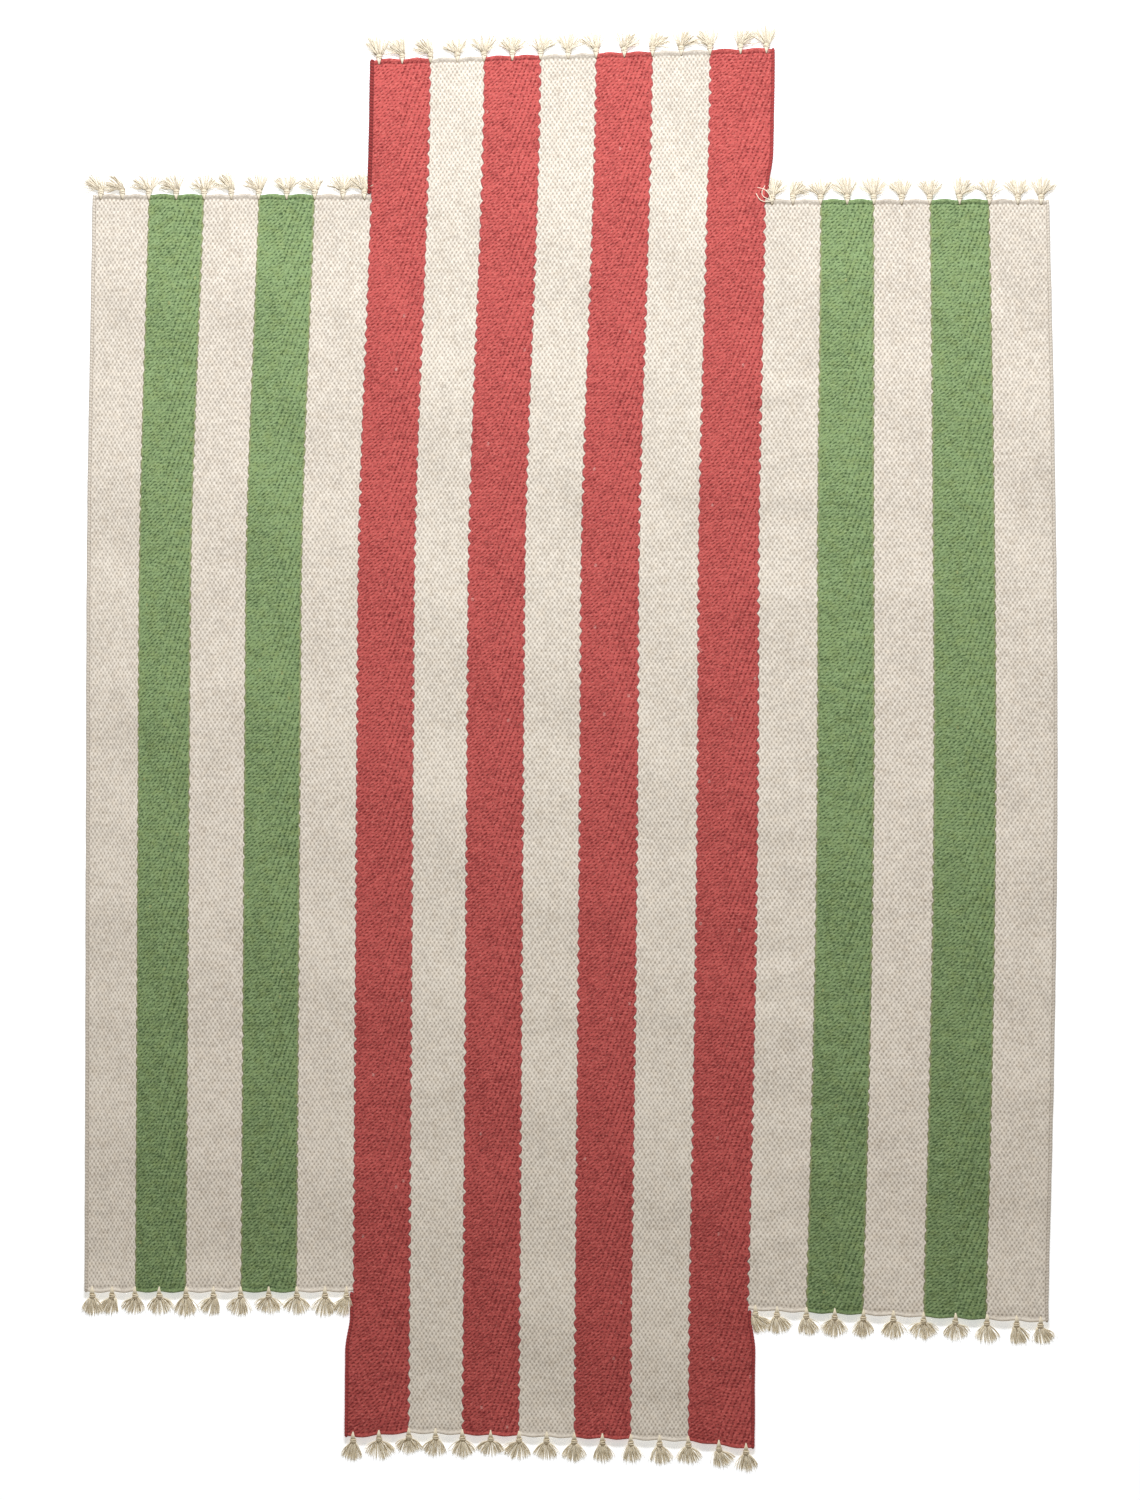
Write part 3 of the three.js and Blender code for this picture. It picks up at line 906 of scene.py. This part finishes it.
def selvedge(name, panel, x, side, low, high, colour, seed, thickness=SELVEDGE, tone=0.45):
    """The cord of a free edge, with the weft's turns round it."""
    rng = np.random.default_rng(seed)
    middle = x + side * (thickness / 2 - 0.0004)
    length = high - low
    count = int(length / 0.0014)
    y = np.linspace(low, high, count)
    floor = lift(panel, np.full(count, middle), y)
    bend = 0.0004 * beat(np.full(count, middle), y * 1.7)
    down = droop(panel, np.full(count, x), y)
    laid_x = drifted(middle, y) + SHIFT_X + bend
    path = np.stack([laid_x, y - down + SHIFT_Y, floor + thickness * 0.5 + 0.0003], axis=-1)
    from_end = np.minimum(y - low, high - y)
    radius = thickness / 2 * (0.45 + 0.55 * np.sqrt(np.clip(from_end / 0.004, 0, 1))) * 1.02
    picks = length / PICK

    def turns(t, angle):
        wound = np.cos(np.pi * 2 * (t * picks + side * angle / (2 * np.pi)))
        return 1 + 0.085 * wound

    t = np.linspace(0, 1, count)[:, None]
    angle = (np.arange(12) * 2 * np.pi / 12)[None]
    # painted shade in the hollows between the weft's turns, lighter on their crowns
    shade = tone + 0.30 * np.cos(2 * np.pi * (t * picks + side * angle / (2 * np.pi)))
    shade = shade + rng.normal(0, 0.05, shade.shape)
    tubes = Tubes()
    tubes.add(path, radius, shade, 12, 1, ridges=turns)
    used = 10 if length > 1 else 2
    layout = strip_layout(np.linspace(0, 1, count), np.linspace(0, 1, 13), used, used, 0, used)
    tubes.quad_uv[0] = layout[:, :, [0, 3, 2, 1]].reshape(-1, 2)
    piece = tubes.piece(name + "_cord", CORD[colour])
    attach(piece, "root")
    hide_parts(name)
    return piece


def build_panel(panel, edge, boundaries, seed):
    """The stripes and tassels of a panel whose left edge is at `edge`."""
    stripes = PANELS[panel]["stripes"]
    places = []
    for i, (colour, full) in enumerate(stripes):
        start, end = edge, edge + full
        if panel == "left" and i == 0:
            start += SELVEDGE
        if panel == "right" and i == len(stripes) - 1:
            end -= SELVEDGE
        near, far = boundaries[round(start, 5)], boundaries[round(end, 5)]
        stripe(panel, f"{panel}_stripe_{i + 1}_{colour}", colour, near, far, seed + i)
        places += [(start, 1 if i == 0 else 0), ((start + end) / 2, 0)]
        edge += full
    places.append((end, -1))
    for which, way in (("top", 1), ("bottom", -1)):
        for i, ((x, inward), (lean, spread)) in enumerate(zip(places, TASSELS[panel][which])):
            beside_centre = (panel == "left" and inward < 0) or (panel == "right" and inward > 0)
            mouth = x + inward * (SEAM_MARGIN if beside_centre else EDGE_MARGIN)
            y = float(end_at(panel, which, mouth))
            name = f"{panel}_tassel_{which}_{i + 1:02d}"
            replaced = f"{panel}_warp_{i + 1:02d}"
            laid_x = float(drifted(mouth, y)) + SHIFT_X
            laid_y = y - float(droop(panel, mouth, y)) + SHIFT_Y
            own_seed = seed * 100 + i + (50 if way < 0 else 0)
            tassel(name, replaced, panel, laid_x, laid_y, way, lean, spread, own_seed)


def all_boundaries():
    """Every line between stripes and every free edge, by its place across the square cloth."""
    stripes = [
        (panel, colour, width)
        for panel, sizes in PANELS.items()
        for colour, width in sizes["stripes"]
    ]
    x = LEFT_EDGE
    lines = {}

    def add(place, left, right, panels, seed):
        low = max(float(end_at(panel, "bottom", place)) for panel in panels)
        high = min(float(end_at(panel, "top", place)) for panel in panels)
        lines[round(place, 5)] = Boundary(place, left, right, (low, high), seed)

    add(x + SELVEDGE, None, stripes[0][1], ["left"], 100)
    for i in range(1, len(stripes)):
        x += stripes[i - 1][2]
        before, after = stripes[i - 1], stripes[i]
        add(x, before[1], after[1], {before[0], after[0]}, 100 + i)
    add(RIGHT_EDGE - SELVEDGE, stripes[-1][1], None, ["right"], 199)
    return lines


def build_rug():
    boundaries = all_boundaries()
    build_panel("left", LEFT_EDGE, boundaries, 20)
    build_panel("centre", LEFT_SEAM, boundaries, 40)
    build_panel("right", RIGHT_SEAM, boundaries, 60)
    for name, x, side in (("left", LEFT_EDGE + SELVEDGE, -1), ("right", RIGHT_EDGE - SELVEDGE, 1)):
        low, high = (float(end_at(name, end, x)) for end in ("bottom", "top"))
        selvedge(name + "_selvedge", name, x, side, low, high, "cream", 301 + side)
    for name, x, side in (("left", LEFT_SEAM, -1), ("right", RIGHT_SEAM, 1)):
        joins_top, joins_bottom = (float(end_at(name, end, x)) for end in ("top", "bottom"))
        top, bottom = (float(end_at("centre", end, x)) for end in ("top", "bottom"))
        thickness, tone = (ROLLED, 0.45) if name == "left" else (SELVEDGE, 0.75)
        above, below = f"centre_selvedge_top_{name}", f"centre_selvedge_bottom_{name}"
        selvedge(above, "centre", x, side, joins_top + GAP, top, "red", 311 + side, thickness, tone)
        selvedge(below, "centre", x, side, bottom, joins_bottom - GAP, "red", 321 + side, tone=0.75)


# The set: floor, light and camera

VIEW_HEIGHT = 2.6565  # what the picture shows from top to bottom, at the cloth
VIEW_RISE = 0.0027  # how far above the cloth's middle the camera looks down
LENS = 85.0
SENSOR = 36.0
KEY_PLACE, KEY_TARGET, KEY_SIZE = (0.0, 3.2, 3.2), (0, 0.3, 0), (1.8, 0.8)
KEY_POWER, KEY_COLOUR = 234, (0.95, 0.99, 1.06)
SKY_COLOUR, SKY_STRENGTH = (1.0, 0.92, 0.80, 1), 0.262
FLOOR_COLOUR = (0.90, 0.90, 0.92, 1)
FLOOR_GLOW, FLOOR_GLOW_STRENGTH = (0.96, 0.99, 1.0, 1), 0.445


def lay_floor():
    bpy.ops.mesh.primitive_plane_add(size=40, location=(0, 0, 0))
    plane = bpy.context.object
    plane.name = "floor"
    material = bpy.data.materials.new("floor")
    material.use_nodes = True
    shader = material.node_tree.nodes["Principled BSDF"]
    shader.inputs["Base Color"].default_value = FLOOR_COLOUR
    shader.inputs["Roughness"].default_value = 0.9
    shader.inputs["Specular IOR Level"].default_value = 0.1
    shader.inputs["Emission Color"].default_value = FLOOR_GLOW
    shader.inputs["Emission Strength"].default_value = FLOOR_GLOW_STRENGTH
    plane.data.materials.append(material)


def area_light(name, location, target, size, power, colour):
    light = bpy.data.lights.new(name, "AREA")
    light.shape = "RECTANGLE"
    light.size, light.size_y = size
    light.energy = power
    light.color = colour
    lamp = bpy.data.objects.new(name, light)
    lamp.location = location
    lamp.rotation_euler = (Vector(target) - Vector(location)).to_track_quat("-Z", "Y").to_euler()
    bpy.context.scene.collection.objects.link(lamp)


def camera():
    data = bpy.data.cameras.new("camera")
    data.lens = LENS
    data.sensor_width = SENSOR
    distance = VIEW_HEIGHT / 2 / (SENSOR / 2 / LENS)
    eye = bpy.data.objects.new("camera", data)
    eye.location = (SHIFT_X, SHIFT_Y + VIEW_RISE, distance + THICKNESS)
    eye.rotation_euler = (0, 0, 0)
    data.clip_end = 60
    bpy.context.scene.collection.objects.link(eye)
    bpy.context.scene.camera = eye


def world():
    sky = bpy.data.worlds.new("world")
    sky.use_nodes = True
    background = sky.node_tree.nodes["Background"]
    background.inputs["Color"].default_value = SKY_COLOUR
    background.inputs["Strength"].default_value = SKY_STRENGTH
    bpy.context.scene.world = sky
    bpy.context.scene.view_settings.view_transform = "Standard"


camera()
world()
lay_floor()
area_light("key", KEY_PLACE, KEY_TARGET, KEY_SIZE, KEY_POWER, KEY_COLOUR)
build_rug()
